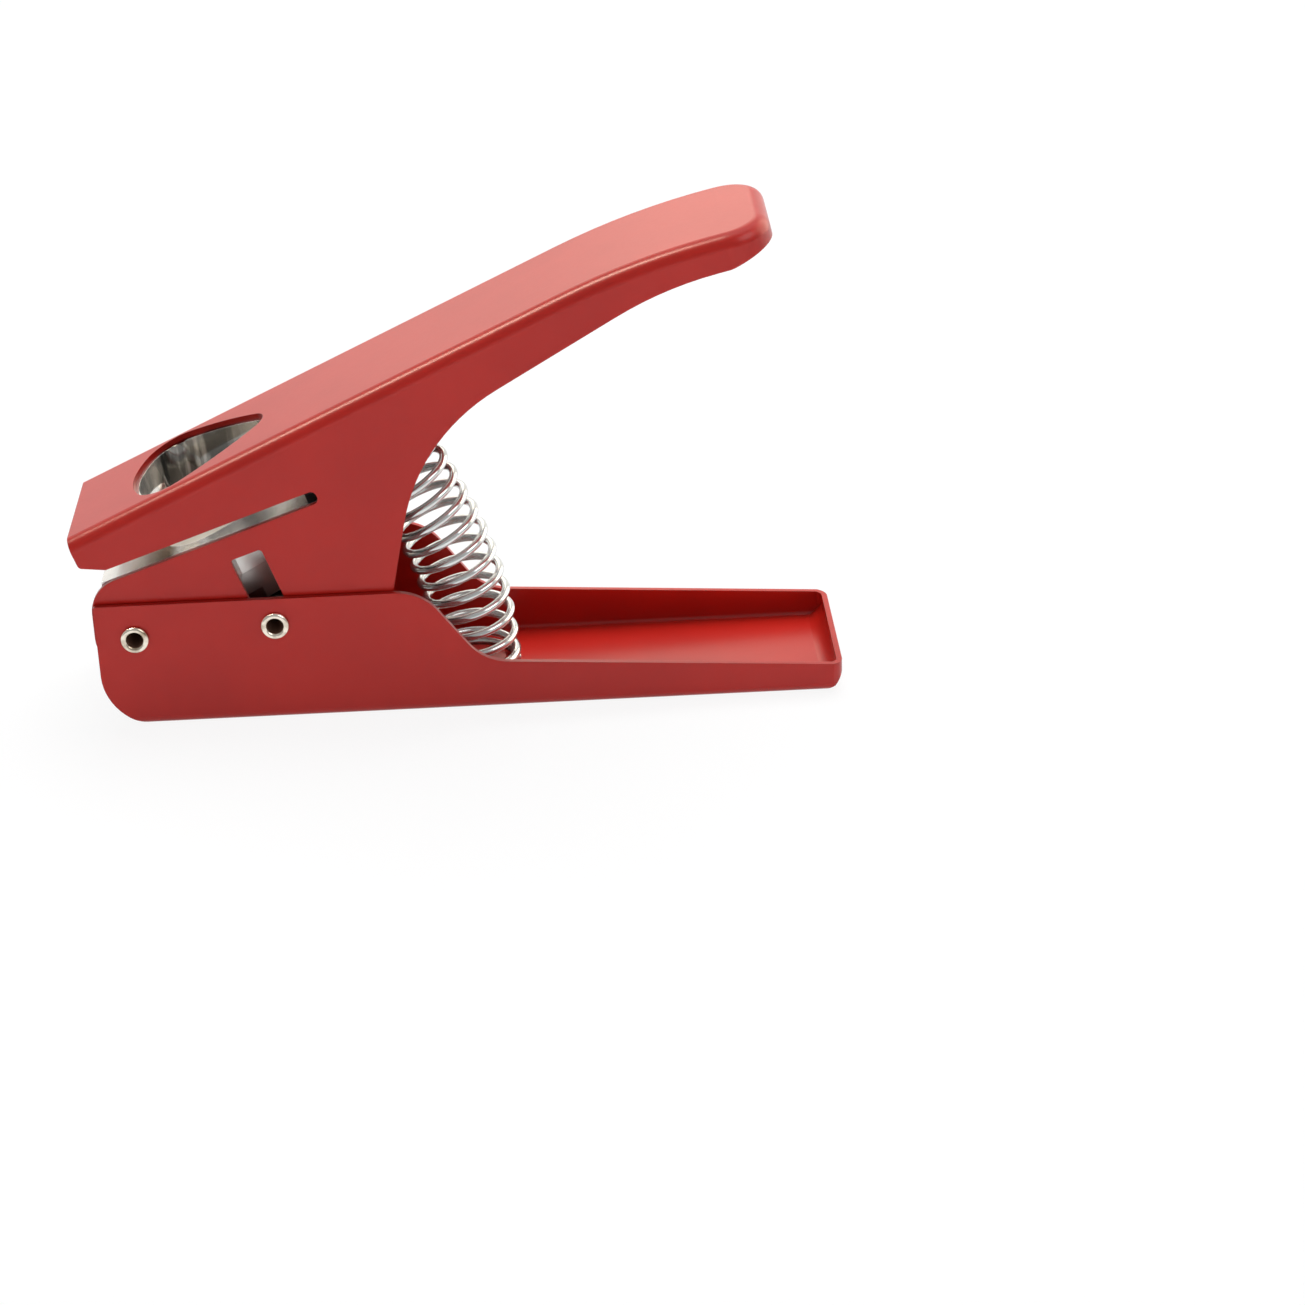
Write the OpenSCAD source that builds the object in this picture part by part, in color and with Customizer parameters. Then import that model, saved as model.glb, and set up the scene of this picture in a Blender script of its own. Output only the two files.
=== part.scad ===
// Hand-operated guitar pick punch: a hinged sheet-metal lever carries the die and guide,
// and a pin fixed in the base drives the punch through a plastic strip as the lever closes.
// Millimetres. Origin on the underside, in the middle of the base; +X towards the grip, +Z up.

/* [Base] */
// Length of the base from front edge to rear end
base_length = 156.8; // [140:0.2:176]
// Outside width of the base
base_width = 38; // [36:0.5:44]
// Sheet thickness of the base
base_sheet = 1.2; // [0.8:0.1:2]
// Height of the tall front walls
wall_height = 28; // [26:0.5:31]
// Length of the tall walls, from the front edge to the start of the fall
wall_run = 68.2; // [60:0.2:76]
// Slope of the falling wall edge, in degrees
fall_angle = 53.5; // [42:0.5:64]
// Radius at the head and the foot of the fall
fall_radius = 11; // [5:0.5:13]
// Rim height where the tray begins
tray_front = 11.2; // [9:0.2:14]
// Rim height at the rear end of the tray
tray_rear = 6.4; // [5:0.2:8]
// Radius of the front lower corner of the side walls
nose_radius = 12.3; // [4:0.1:13]
// Radius where the floor turns up at the rear
tail_radius = 6.2; // [3:0.1:7]
// Outside radius of the bend between floor and walls
base_bend = 2.1; // [1.9:0.1:4]
// Radius of the two rear corners, seen from above
tail_corner = 3.4; // [2.4:0.2:8]

/* [Pins] */
// Distance of the pivot pin behind the front edge of the base
pivot_setback = 8; // [7:0.2:10]
// Height of the pivot pin
pivot_height = 20.3; // [19.5:0.1:22]
// Distance of the drive pin behind the pivot pin
drive_reach = 29.4; // [27:0.2:32]
// Height of the drive pin above the pivot pin
drive_rise = 1.7; // [0:0.1:2.4]
// Outside diameter of the hollow rivet shanks
rivet_diameter = 4.2; // [3.6:0.1:4.4]
// Bore of the hollow rivets
rivet_bore = 3.3; // [2.4:0.1:3.3]
// Diameter of the rolled rivet heads
rivet_head = 6; // [5.4:0.1:8]
// Thickness of the rolled rivet heads
rivet_head_height = 1; // [0.6:0.1:1.6]
// Outside diameter of the sleeve that the lever turns on
pivot_sleeve_diameter = 6; // [5.6:0.1:7]
// Outside diameter of the sleeve that drives the punch
drive_sleeve_diameter = 5.2; // [5:0.1:6]
// Spare length of the drive-pin slots past the closed position
drive_spare = 0.8; // [0.4:0.1:1.2]

/* [Lever] */
// Sheet thickness of the lever
lever_sheet = 1.2; // [0.8:0.1:1.6]
// Outside radius of the lever's top edges
lever_bend = 3; // [2:0.2:4]
// Slope of the lever's top at rest, which is also how far it closes, in degrees
rest_angle = 25; // [20:0.5:26]
// Height of the lever's top face above the pivot, square to that face
top_height = 25; // [24:0.5:28]
// How far the lever's front edge reaches ahead of the pivot
front_reach = 4.2; // [3.5:0.1:6]
// How far the side walls reach below the pivot when the lever is closed
wall_depth = 17; // [15.5:0.1:17.2]
// Radius of the side walls round the pivot
pivot_boss = 8.5; // [7:0.5:9]
// Distance of the walls' lower rear corner behind the pivot
heel_reach = 52; // [46:1:56]
// Slope of the walls' rear edge, in degrees
heel_rake = 53; // [45:1:60]
// Depth of the side walls where the grip begins
throat_wall = 13.3; // [11:0.1:14]
// Radius between the rear edge and the grip
throat_radius = 43; // [30:1:46]
// Distance behind the pivot where the grip starts to bow down
grip_start = 112.5; // [104:0.5:122]
// Radius of the bowed grip's top
grip_radius = 165; // [120:5:260]
// Angle through which the grip bows, in degrees
grip_turn = 12.5; // [9:0.1:15]
// Depth of the side walls along the bowed grip
grip_wall = 7.1; // [6.5:0.1:9]
// Depth of the wall round the end of the grip
tip_wall = 4.9; // [4:0.1:6]
// Radius of the grip's two rear corners, seen from above
tip_corner = 9.5; // [5:0.5:12]

/* [Strip slot and pick] */
// Slope of the strip slot at rest, in degrees
strip_angle = 19.5; // [17:0.5:21]
// Height of the strip slot's floor above the pivot, square to the slot
strip_floor = 13.3; // [12.8:0.1:14]
// Height of the strip slot
strip_gap = 2.8; // [1.6:0.1:3]
// Depth of the strip slot past the pick's tip
strip_depth = 7.7; // [5:0.1:9]
// Length of the pick from its broad end to its tip
pick_length = 29.2; // [27:0.2:31]
// Width of the pick across its shoulders
pick_width = 26.6; // [24:0.2:27]
// Radius of the pick's tip
pick_tip = 4; // [2:0.2:5]
// Radius of the pick's shoulders
pick_shoulder = 7; // [5:0.2:8]
// Radius of the pick's bowed sides
pick_side = 60; // [40:2:120]
// Radius of the pick's broad end
pick_back = 21; // [18:0.5:30]
// Distance of the pick's broad end behind the pivot
pick_setback = 10.9; // [10:0.1:12]
// Margin of the window in the lever's top round the pick
window_margin = 0.9; // [0.3:0.1:1.2]

/* [Die, guide and punch] */
// Thickness of the guide below the strip slot
guide_depth = 11; // [9.5:0.1:11.5]
// How far the guide's full width goes past the pick's tip
guide_reach = 8; // [5:0.1:9]
// How far the die set's rear end goes past the pick's tip
die_reach = 11.4; // [10.4:0.1:13]
// Width of the narrow rear end of the die set
tongue_width = 22; // [20:0.5:28]
// Outside radius of the guide's lugs round the pivot sleeve
lug_radius = 6; // [5:0.2:7]
// Thickness of each lug
lug_thickness = 5; // [3:0.5:8]
// Height of the punch
punch_height = 10.6; // [9:0.1:10.8]
// How far the punch waits below the strip
punch_recess = 0.5; // [0.3:0.1:0.8]
// Depth of the shallow valley in the punch's cutting face
punch_hollow = 0.5; // [0.2:0.1:1]
// Width of the yoke's stem, along the drive pin
yoke_width = 20; // [14:0.5:22]
// Thickness of the yoke's flange
yoke_flange = 4.8; // [4.4:0.1:5.2]
// Metal left round the yoke's cross slot
yoke_wall = 3; // [2:0.1:3.5]

/* [Fasteners] */
// Thread diameter of the cap screws
screw_diameter = 3; // [2.5:0.1:3]
// Head diameter of the cap screws
screw_head = 5.5; // [5:0.1:5.6]
// Head height of the cap screws
screw_head_height = 2.6; // [2:0.1:2.8]
// Width across the flats of the cap screws' sockets
screw_socket = 2.5; // [1.5:0.1:2.6]
// Distance of the two die screws from each other
die_screw_span = 14; // [13:0.5:15]
// How far the die screws reach into the die
die_screw_grip = 6; // [4:0.5:6.5]
// Distance of the two punch screws from each other
punch_screw_span = 14; // [11:0.5:16]
// How far the punch screws reach into the punch
punch_screw_grip = 6; // [4:0.5:7]
// Diameter of the dowel pins
dowel_diameter = 2; // [1.5:0.1:2.2]
// Length of the dowel pins
dowel_length = 12; // [9:0.5:13]
// Distance of the two dowel pins from each other
dowel_span = 4.6; // [4:0.1:5]

/* [Spring] */
// Wire diameter of the spring
wire = 1.6; // [1.2:0.1:1.7]
// Outside diameter of the spring
spring_diameter = 18.8; // [17:0.2:19.2]
// Number of turns
spring_turns = 16; // [12:1:18]
// Distance of the spring's foot behind the die set, from the spring's outside
spring_reach = 10.1; // [9:0.1:13]
// Radius of the bow in the spring's lower half
spring_bow = 85; // [75:1:95]
// Gap between the closed turns at either end
end_turn_gap = 0.55; // [0.5:0.05:1]
// Height of the two posts that locate the spring
post_height = 2; // [1.6:0.2:3]
// Thickness of the upper spring seat
seat_thickness = 3.2; // [2.8:0.1:4]
// Length of the upper spring seat
seat_length = 22; // [20:0.5:25]
// Thickness of the seat's tongue
seat_tongue = 1.4; // [1:0.1:1.6]

/* [Clearances] */
// Gap between the lever's walls and the base walls
side_gap = 0.3; // [0.2:0.05:0.5]
// Radial play of pins, sleeves and screws in their holes
pin_fit = 0.05; // [0.03:0.01:0.08]
// Gap between the die set and the lever's walls
die_gap = 0.15; // [0.1:0.05:0.3]
// Gap between the punch and the guide and die, all round
punch_fit = 0.05; // [0.03:0.01:0.08]
// Gap round the drive sleeve in slots and notches
drive_gap = 0.3; // [0.25:0.05:0.4]
// Gap between the spring's ends and their seats
spring_gap = 0.15; // [0.1:0.05:0.3]
// Gap between the spring's inside and its posts
post_gap = 0.5; // [0.4:0.1:0.9]

/* [Hidden] */
$fn = 96;

// Enough to run a cut past the face it opens
over = 1;
// How far a trimming outline passes outside a rounded face, so that the two meet at an edge
crease = 0.3;
// How far a rounding stands off the faces it blends, for the same reason
nudge = 0.003;
red = "#a83432";
nickel = "#c9c6bd";
steel = "#9a9c9e";
zinc = "#d3d6d8";

// Pins and widths
pivot_x = pivot_setback - base_length / 2;
drive_radius = norm([drive_reach, drive_rise]);
drive_angle = atan2(drive_rise, drive_reach);
base_inside = base_width - 2 * base_sheet;
lever_width = base_inside - 2 * side_gap;
lever_inside = lever_width - 2 * lever_sheet;
die_width = lever_inside - 2 * die_gap;

// Strip slot, in slot coordinates: u along the slot, n square to it, both from the pivot
slot_tilt = rest_angle - strip_angle;
strip_roof = strip_floor + strip_gap;
die_lift = 0.9;
die_foot = strip_roof + die_lift;
die_top = top_height - lever_sheet;
function lever_point(u, n) = [u * cos(slot_tilt) + n * sin(slot_tilt),
    n * cos(slot_tilt) - u * sin(slot_tilt)];
function roof_n(u) = (die_top + u * sin(slot_tilt)) / cos(slot_tilt);

// Swing of the drive pin about the pivot, in slot coordinates
slot_start = drive_angle - strip_angle;
slot_end = drive_angle + slot_tilt;
yoke_near = drive_radius * min(cos(slot_start), cos(slot_end));
yoke_far = drive_radius * (slot_start < 0 && slot_end > 0 ? 1 : max(cos(slot_start), cos(slot_end)));
yoke_mid = (yoke_near + yoke_far) / 2;
yoke_pin_n = drive_radius * sin(slot_start);
drive_room = drive_sleeve_diameter / 2 + drive_gap;
punch_top = strip_floor - punch_recess;
punch_foot = punch_top - punch_height;
guide_foot = strip_floor - guide_depth;

// Die set's ends: a set-back front, and a rear where screws and dowels hold it together
die_setback = 3.2;
die_front = die_setback - front_reach;
guide_front = -1.7;
pick_end = pick_setback + pick_length;
slot_rear = pick_end + strip_depth;
guide_rear = pick_end + guide_reach;
die_rear = pick_end + die_reach;
stop_lap = 3.6;
stop_front = slot_rear - stop_lap;
joint_u = (stop_front + die_rear) / 2;

// Spring: an arc from the floor, then a straight run square to the lever's top
seat_face = die_top - seat_thickness;
spring_mean = (spring_diameter - wire) / 2;
spring_foot = die_rear + spring_reach + spring_diameter / 2;
bow_run = spring_bow * rest_angle * PI / 180;
bow_end = [spring_foot - spring_bow * (1 - cos(rest_angle)),
    base_sheet + spring_bow * sin(rest_angle) - pivot_height];
lean = [-sin(rest_angle), cos(rest_angle)];
straight_run = seat_face - bow_end * lean;
spring_length = bow_run + straight_run;
seat_mid = bow_end * [cos(rest_angle), sin(rest_angle)];
wire_sides = 6;
turn_rings = 8;
wire_radius = wire / 2 / sqrt(cos(180 / wire_sides));
post_diameter = 2 * (spring_mean * cos(180 / turn_rings) - wire_radius - post_gap);
post_break = 0.6;
tongue_depth = 3;

// Outlines with exact arcs

function flat(p) = [p[0], p[1]];
function unit(v) = v / norm(v);
function wrap(list, i) = list[(i + len(list)) % len(list)];
function doubled_area(p) = [for (i = [0:len(p) - 1]) cross(p[i], wrap(p, i + 1))]
    * [for (q = p) 1];

// Half angle, tangent points and centre of the arc that rounds corner b between a and c
function corner_half(a, b, c) = acos(unit(a - b) * unit(c - b)) / 2;
function corner_ends(a, b, c, r) = r == 0 ? [b]
    : let(run = r / tan(corner_half(a, b, c))) [b + run * unit(a - b), b + run * unit(c - b)];
function corner_centre(a, b, c, r) =
    b + unit(unit(a - b) + unit(c - b)) * r / sin(corner_half(a, b, c));

// What lies outside an arc from p to q, between its two end radii: cut off a convex corner
module chip(centre, r, p, q) {
    a = p - centre;
    b = q - centre;
    peak = (a + b) / (1 + a * b / (r * r));
    difference() {
        polygon([centre, for (v = [a, peak, b]) centre + (1 + crease / r) * v]);
        translate(centre) circle(r + nudge);
    }
}

// Part of a circle beyond the chord from p to q: cut out of a concave corner
module scoop(centre, r, p, q) {
    along = r * unit(q - p);
    out = unit((p + q) / 2 - centre);
    intersection() {
        translate(centre) circle(r - nudge);
        polygon([p - along - crease * out, q + along - crease * out, q + along + r * out,
            p - along + r * out]);
    }
}

// Closed outline from [x, y, radius] corners
module outline(corners) {
    p = [for (c = corners) flat(c)];
    side = sign(doubled_area(p));
    last = len(p) - 1;
    convex = [for (i = [0:last]) cross(p[i] - wrap(p, i - 1), wrap(p, i + 1) - p[i]) * side > 0];
    ends = [for (i = [0:last]) corner_ends(wrap(p, i - 1), p[i], wrap(p, i + 1), corners[i][2])];
    difference() {
        polygon([for (i = [0:last]) each (convex[i] ? [p[i]] : ends[i])]);
        for (i = [0:last]) if (corners[i][2] > 0) {
            r = corners[i][2];
            centre = corner_centre(wrap(p, i - 1), p[i], wrap(p, i + 1), r);
            if (convex[i]) chip(centre, r, ends[i][0], ends[i][1]);
            else scoop(centre, r, ends[i][0], ends[i][1]);
        }
    }
}

// Pick outline, grown all round by a margin: broad end at the origin, tip along +X
shoulder_y = pick_width / 2 - pick_shoulder;
shoulder_x = pick_back - sqrt(pow(pick_back - pick_shoulder, 2) - pow(shoulder_y, 2));
shoulder_centre = [shoulder_x, shoulder_y];
tip_centre = [pick_length - pick_tip, 0];
back_centre = [pick_back, 0];
chord = tip_centre - shoulder_centre;
chord_foot = (pow(pick_side - pick_shoulder, 2) - pow(pick_side - pick_tip, 2) + chord * chord)
    / (2 * norm(chord));
side_drop = sqrt(pow(pick_side - pick_shoulder, 2) - pow(chord_foot, 2));
side_centre = shoulder_centre + chord_foot * unit(chord)
    + side_drop * unit([chord.y, -chord.x]);
function flip(p) = [p.x, -p.y];
function touch(big, r, small) = big + r * unit(small - big);

module pick(margin) {
    back_end = touch(back_centre, pick_back + margin, shoulder_centre);
    side_begin = touch(side_centre, pick_side + margin, shoulder_centre);
    side_finish = touch(side_centre, pick_side + margin, tip_centre);
    difference() {
        intersection() {
            translate(back_centre) circle(pick_back + margin);
            translate(side_centre) circle(pick_side + margin);
            translate(flip(side_centre)) circle(pick_side + margin);
        }
        chip(tip_centre, pick_tip + margin, side_finish, flip(side_finish));
        chip(shoulder_centre, pick_shoulder + margin, back_end, side_begin);
        chip(flip(shoulder_centre), pick_shoulder + margin, flip(back_end), flip(side_begin));
    }
}

// Placing

// Side outlines are drawn in X and Y and stood up across the part, centred on the middle plane
module across(width) {
    rotate([90, 0, 0]) linear_extrude(width, center = true) children();
}

// Cross-sections are drawn with X across and Y up, and run along +X
module along(from, to) {
    translate([from, 0, 0]) rotate([90, 0, 90]) linear_extrude(to - from) children();
}

module at_pivot() {
    translate([pivot_x, 0, pivot_height]) children();
}

module at_drive() {
    translate([pivot_x + drive_reach, 0, pivot_height + drive_rise]) children();
}

// Lever coordinates: pivot at the origin, the lever's top level
module on_lever() {
    at_pivot() rotate([0, -rest_angle, 0]) children();
}

// Slot coordinates: pivot at the origin, the strip slot level
module on_slot() {
    at_pivot() rotate([0, -strip_angle, 0]) children();
}

module cross_pin(diameter, length) {
    rotate([90, 0, 0]) cylinder(d = diameter, h = length, center = true);
}

// Two copies, a span apart across the part
module pair(span) {
    for (side = [-1, 1]) translate([0, side * span / 2, 0]) children();
}

// Straight slot that the drive pin's whole swing fits into, in slot coordinates
slot_break = 0.8;

module drive_slot(margin) {
    near = yoke_near - drive_room - margin;
    far = yoke_far + drive_room + margin;
    foot = yoke_pin_n - drive_room - margin;
    top = drive_radius * sin(slot_end) + drive_room + drive_spare + margin;
    across(base_width) outline([[near, foot, slot_break], [far, foot, slot_break], [far, top, slot_break],
        [near, top, slot_break]]);
}

// Base

fall_head = [wall_run - base_length / 2, wall_height];
fall_foot = [fall_head.x + (wall_height - tray_front) / tan(fall_angle), tray_front];
rim_break = 0.5;
tail_bend = min(tail_radius, tray_rear);

module base_side() {
    front = -base_length / 2;
    rear = base_length / 2 + crease;
    outline([[front, -crease, nose_radius], [rear, -crease, tail_bend], [rear, tray_rear, 0],
        [each fall_foot, fall_radius], [each fall_head, fall_radius], [front, wall_height, rim_break]]);
}

module base_hollow_side() {
    rear = base_length / 2 - base_sheet + crease;
    outline([[-base_length, base_sheet - crease, 0], [rear, base_sheet - crease, tail_bend - base_sheet],
        [rear, 2 * wall_height, 0], [-base_length, 2 * wall_height, 0]]);
}

// The trough's shape, cut from a side outline by its cross-section and its plan
module base_form(inset) {
    half = base_width / 2 - inset;
    rear = base_length / 2 - inset;
    intersection() {
        across(base_width + over) children();
        along(-base_length, base_length) outline([[-half, inset, base_bend - inset],
            [half, inset, base_bend - inset], [half, 2 * wall_height, 0], [-half, 2 * wall_height, 0]]);
        translate([0, 0, -over]) linear_extrude(3 * wall_height)
            outline([[-base_length, -half - crease, 0], [rear, -half - crease, tail_corner - inset],
                [rear, half + crease, tail_corner - inset], [-base_length, half + crease, 0]]);
    }
}

module base_channel() {
    color(red) difference() {
        base_form(0) base_side();
        base_form(base_sheet) base_hollow_side();
        translate([-base_length / 2 - over, base_bend - base_width / 2, -over])
            cube([nose_radius + over, base_width - 2 * base_bend, nose_radius + over]);
        at_pivot() cross_pin(rivet_diameter + 2 * pin_fit, base_width + over);
        at_drive() cross_pin(rivet_diameter + 2 * pin_fit, base_width + over);
    }
}

// Hollow rivet with a rolled head at either end
roll_share = 0.45;

module hollow_rivet() {
    half = base_width / 2;
    lip = (rivet_head - rivet_bore) / 2;
    roll = min(rivet_head_height, lip) * roll_share;
    rotate([90, 0, 0]) rotate_extrude() {
        translate([rivet_bore / 2, -half]) square([(rivet_diameter - rivet_bore) / 2, base_width]);
        for (side = [0, 1]) mirror([0, side])
            outline([[rivet_bore / 2, half, 0], [rivet_head / 2, half, 0],
                [rivet_head / 2, half + rivet_head_height, roll],
                [rivet_bore / 2, half + rivet_head_height, roll]]);
    }
}

module pin_sleeve(diameter) {
    difference() {
        cross_pin(diameter, base_inside);
        cross_pin(rivet_diameter + 2 * pin_fit, base_width);
    }
}

module pivot_rivet() {
    color(nickel) at_pivot() hollow_rivet();
}

module drive_rivet() {
    color(nickel) at_drive() hollow_rivet();
}

module pivot_sleeve() {
    color(steel) at_pivot() pin_sleeve(pivot_sleeve_diameter);
}

module drive_sleeve() {
    color(steel) at_drive() pin_sleeve(drive_sleeve_diameter);
}

// Stud that centres one end of the spring, its free end chamfered
module spring_stud(root) {
    translate([0, 0, -root]) cylinder(d = post_diameter, h = root + post_height - post_break);
    translate([0, 0, post_height - post_break])
        cylinder(d1 = post_diameter, d2 = post_diameter - 2 * post_break, h = post_break);
}

module spring_post() {
    color(red) translate([pivot_x + spring_foot, 0, base_sheet]) spring_stud(0);
}

// Lever

tip_step = 0.01;
bow_centre = [grip_start, top_height - grip_radius];

// The lever's outside, and its inside when inset by the sheet: a round-shouldered section
module lever_section(inset, foot) {
    half = lever_width / 2 - inset;
    top = top_height - inset;
    outline([[-half, foot, 0], [half, foot, 0], [half, top, lever_bend - inset],
        [-half, top, lever_bend - inset]]);
}

// The same section from the axis of a rear corner outwards
module corner_section(inset, foot) {
    top = top_height - inset;
    outline([[0, foot, 0], [tip_corner - inset, foot, 0], [tip_corner - inset, top, lever_bend - inset],
        [0, top, 0]]);
}

// Drawn end of the grip: the section carried round two corners
module lever_tip(inset, foot) {
    axis_y = lever_width / 2 - tip_corner;
    translate([bow_centre.x, 0, bow_centre.y]) rotate([0, grip_turn, 0])
        translate([0, 0, grip_radius - top_height]) {
            along(-over, 0) lever_section(inset, foot);
            rotate([90, 0, 0]) linear_extrude(2 * axis_y, center = true) corner_section(inset, foot);
            for (side = [0, 1]) mirror([0, side, 0]) translate([0, axis_y, 0])
                rotate_extrude(angle = 90) corner_section(inset, foot);
        }
}

// Straight front, bowed grip and tip; the tip is drawn in by a hair
module lever_form(inset, foot) {
    along(-2 * top_height, grip_start) lever_section(inset, foot);
    translate([bow_centre.x, 0, bow_centre.y]) rotate([-90, -90, 0])
        rotate_extrude(angle = grip_turn) translate([grip_radius - top_height, 0]) rotate(-90)
            lever_section(inset, foot);
    lever_tip(inset + tip_step, foot);
}

// Side outline of the trimmed walls, in lever coordinates
mouth_rise = 2.4;
mouth_run = 5;
mouth_break = 1;
nose_round = 8;
chin_angle = 30;
chin_round = 5;
heel_round = 1.5;
strip_break = 0.42 * strip_gap;
tip_round = 8;
bow_share = 0.56;
bow_fall = 11.6;
bow_ease = 76;

module lever_side() {
    clear = 2 * top_height;
    front = -[cos(rest_angle), -sin(rest_angle)] * pivot_boss;
    front_way = [sin(rest_angle), cos(rest_angle)];
    nose_lift = (strip_floor - front * [sin(slot_tilt), cos(slot_tilt)])
        / (front_way * [sin(slot_tilt), cos(slot_tilt)]);
    chin = -pivot_boss / cos((90 + rest_angle - chin_angle) / 2)
        * [cos((90 - rest_angle - chin_angle) / 2), sin((90 - rest_angle - chin_angle) / 2)];
    chin_foot = chin.x + (chin.y + wall_depth) / tan(chin_angle);
    throat_h = top_height - throat_wall;
    throat_s = heel_reach + (throat_h + wall_depth) / tan(heel_rake);
    tip_s = bow_centre.x + grip_radius * sin(grip_turn);
    tip_h = bow_centre.y + grip_radius * cos(grip_turn);
    tip_way = [cos(grip_turn), -sin(grip_turn)];
    tip_up = [sin(grip_turn), cos(grip_turn)];
    tip_foot = [tip_s, tip_h] - grip_wall * tip_up;
    tip_end = [tip_s, tip_h] + 2 * tip_corner * tip_way + (grip_wall - 2 * tip_wall) * tip_up;
    bow_mid = grip_start + bow_share * (tip_s - grip_start);
    bow_h = tip_foot.y + (tip_foot.x - bow_mid) * tan(bow_fall);
    outline([[each lever_point(-front_reach, clear), 0],
        [each lever_point(-front_reach, strip_roof + mouth_rise), mouth_break],
        [each lever_point(mouth_run - front_reach, strip_roof), mouth_break],
        [each lever_point(slot_rear, strip_roof), strip_break],
        [each lever_point(slot_rear, strip_floor), strip_break],
        [each (front + nose_lift * front_way), nose_round],
        [each chin, pivot_boss],
        [chin_foot, -wall_depth, chin_round],
        [heel_reach, -wall_depth, heel_round],
        [throat_s, throat_h, throat_radius],
        [bow_mid, bow_h, bow_ease],
        [each tip_foot, tip_round],
        [each tip_end, 0],
        [tip_end.x, clear, 0]]);
}

module lever_shell() {
    color(red) on_lever() difference() {
        intersection() {
            lever_form(0, -wall_depth - over);
            across(lever_width + over) lever_side();
        }
        lever_form(lever_sheet, -wall_depth - 2 * over);
        rotate([0, slot_tilt, 0]) {
            translate([pick_setback, 0, strip_roof]) linear_extrude(2 * top_height) pick(window_margin);
            drive_slot(0);
        }
        cross_pin(pivot_sleeve_diameter + 2 * pin_fit, base_width);
    }
}

// Die set

screw_room = 0.3;

// Block across the lever's inside, cut to the top's underside
module die_block(rear, width, foot) {
    across(width) polygon([[die_front, foot], [rear, foot], [rear, roof_n(rear)],
        [die_front, roof_n(die_front)]]);
}

// Holes that tie the rear of the die set together
module tie_holes(from, to, dowel_from, dowel_to) {
    translate([joint_u, 0, 0]) {
        pair(die_screw_span) translate([0, 0, from])
            cylinder(d = screw_diameter + 2 * pin_fit, h = to - from);
        pair(dowel_span) translate([0, 0, dowel_from])
            cylinder(d = dowel_diameter + 2 * pin_fit, h = dowel_to - dowel_from);
    }
}

dowel_foot = (strip_floor + die_foot - dowel_length) / 2;

module die_plate() {
    corner = lever_bend;
    half = die_width / 2;
    color(nickel) difference() {
        intersection() {
            on_slot() die_block(die_rear, die_width, die_foot);
            on_lever() along(-top_height, 2 * die_rear)
                polygon([[-half, 0], [half, 0], [half, die_top - corner], [half - corner, die_top],
                    [corner - half, die_top], [-half, die_top - corner]]);
        }
        on_slot() {
            translate([pick_setback, 0, 0]) linear_extrude(2 * top_height) pick(punch_fit);
            tie_holes(strip_floor, die_foot + die_screw_grip + over,
                strip_floor, dowel_foot + dowel_length + over);
        }
        on_lever() translate([lever_point(die_rear, roof_n(die_rear)).x - tongue_depth - over,
            -die_width, seat_face - pin_fit])
            cube([die_width, 2 * die_width, seat_tongue + 2 * pin_fit]);
    }
}

module strip_stop() {
    color(steel) on_slot() difference() {
        translate([stop_front, -tongue_width / 2, strip_floor])
            cube([die_rear - stop_front, tongue_width, die_foot - strip_floor]);
        tie_holes(0, 2 * strip_roof, 0, 2 * strip_roof);
    }
}

module guide_block() {
    half = die_width / 2;
    color(nickel) on_slot() difference() {
        union() {
            translate([guide_front, -half, guide_foot])
                cube([guide_rear - guide_front, die_width, guide_depth]);
            translate([0, -tongue_width / 2, guide_foot])
                cube([die_rear, tongue_width, guide_depth]);
            pair(die_width - lug_thickness) across(lug_thickness) {
                circle(lug_radius);
                polygon([[-lug_radius, 0], [lug_radius, 0], [lug_radius, strip_floor],
                    [guide_front, strip_floor]]);
            }
        }
        cross_pin(pivot_sleeve_diameter + 2 * pin_fit, base_width);
        translate([pick_setback, 0, 0]) linear_extrude(2 * strip_floor) pick(punch_fit);
        tie_holes(0, 2 * strip_floor, dowel_foot - over, 2 * strip_floor);
        translate([joint_u, 0, guide_foot - over]) pair(die_screw_span)
            cylinder(d = screw_head + 2 * screw_room, h = screw_head_height + over);
        drive_slot(drive_gap);
    }
}

// Cap screw, head down, the underside of its head at the origin
module cap_screw(reach) {
    socket_depth = screw_head_height / 2;
    cylinder(d = screw_diameter, h = reach);
    translate([0, 0, -screw_head_height]) difference() {
        cylinder(d = screw_head, h = screw_head_height);
        translate([0, 0, -over]) cylinder(d = screw_socket / cos(30), h = socket_depth + over, $fn = 6);
    }
}

module die_screws() {
    head_n = guide_foot + screw_head_height;
    color(steel) on_slot() translate([joint_u, 0, head_n])
        pair(die_screw_span) cap_screw(die_foot + die_screw_grip - head_n);
}

module dowel_pins() {
    color(steel) on_slot() translate([joint_u, 0, dowel_foot])
        pair(dowel_span) cylinder(d = dowel_diameter, h = dowel_length);
}

// Upper seat: a plate against the lever's top, a post for the spring, a tongue into the die
module spring_seat() {
    rear = lever_point(die_rear, roof_n(die_rear)).x;
    color(steel) on_lever() {
        translate([rear + die_gap, -die_width / 2, seat_face])
            cube([seat_mid - rear - die_gap + seat_length / 2, die_width, seat_thickness - lever_bend / 2]);
        translate([rear + die_gap, lever_bend - die_width / 2, seat_face])
            cube([seat_mid - rear - die_gap + seat_length / 2, die_width - 2 * lever_bend, seat_thickness]);
        translate([rear - tongue_depth, -tongue_width / 2, seat_face])
            cube([tongue_depth + over, tongue_width, seat_tongue]);
        translate([seat_mid, 0, seat_face]) mirror([0, 0, 1]) spring_stud(over);
    }
}

// Punch

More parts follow.
